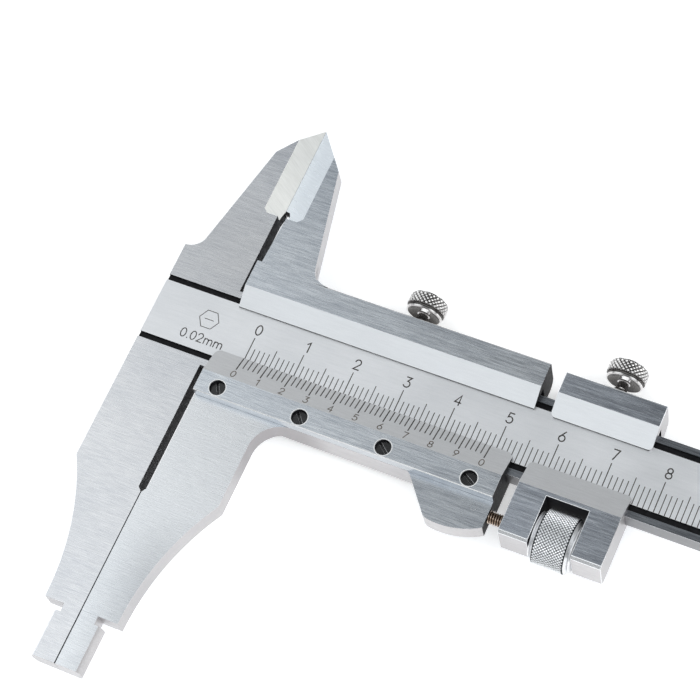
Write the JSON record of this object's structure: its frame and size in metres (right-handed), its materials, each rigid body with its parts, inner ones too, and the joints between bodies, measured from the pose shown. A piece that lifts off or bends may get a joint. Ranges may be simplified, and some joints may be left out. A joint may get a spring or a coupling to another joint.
{
  "type": "vernier caliper",
  "caption": "Vernier caliper with knife-edge upper jaws, long lower jaws with rounded nibs, a screwed-on vernier plate and a screw-driven fine-adjustment carriage, shown closed.",
  "frame": {"origin": "zero line of the main scale, on the centre line of the beam, on the back face of the slider", "axes": "+X along the beam to its tail, +Y across the beam to the knife jaws, +Z out of the scale face"},
  "size_m": [0.3125, 0.1152, 0.0105],
  "materials": {
    "beam_steel": "fine brushed flats, satin scale face",
    "slider_steel": "brushed flats, satin bevels",
    "plate_steel": "brushed flat, satin grey bevel with dark graduations",
    "bright_chrome": "bright plated, diamond knurled",
    "black_screw": "black oxide",
    "screw_steel": "plain turned and ground steel",
    "feed_steel": "oiled brownish thread"
  },
  "bodies": {
    "beam": {"beam": "beam_steel", "end_stop": "beam_steel", "end_stop_screw_1": "screw_steel", "end_stop_screw_2": "screw_steel"},
    "slider": {"slider_frame": "slider_steel", "vernier_plate": "plate_steel", "vernier_screw_1": "black_screw", "vernier_screw_2": "black_screw", "vernier_screw_3": "black_screw", "vernier_screw_4": "black_screw", "slider_gib": "screw_steel", "gib_set_screw_1": "black_screw", "gib_set_screw_2": "black_screw", "feed_screw": "feed_steel", "feed_screw_pin": "screw_steel"},
    "carriage": {"carriage_frame": "slider_steel", "carriage_gib": "screw_steel"},
    "nut": {"feed_nut": "bright_chrome"},
    "slider_clamp": {"slider_clamp_screw": "bright_chrome"},
    "carriage_clamp": {"carriage_clamp_screw": "bright_chrome"}
  },
  "joints": [
    {"name": "slider_slide", "type": "slide", "parent": "beam", "child": "slider", "axis": [1, 0, 0], "range_m": [0, 0.2]},
    {"name": "carriage_feed", "type": "slide", "parent": "slider", "child": "carriage", "axis": [1, 0, 0], "range_m": [-0.0025, 0.005]},
    {"name": "nut_turn", "type": "hinge", "parent": "carriage", "child": "nut", "pos_m": [0.06613, -0.01605, 0.00385], "axis": [1, 0, 0], "range_deg": [-2010, 4010]},
    {"name": "slider_clamp_turn", "type": "hinge", "parent": "slider", "child": "slider_clamp", "pos_m": [0.02683, 0.0163, 0.00385], "axis": [0, 1, 0], "range_deg": [-360, 45]},
    {"name": "carriage_clamp_turn", "type": "hinge", "parent": "carriage", "child": "carriage_clamp", "pos_m": [0.06603, 0.0163, 0.00385], "axis": [0, 1, 0], "range_deg": [-360, 45]}
  ],
  "couplings": [
    {"joint": "nut_turn", "follows": "carriage_feed", "rad_per_m": 13963}
  ]
}
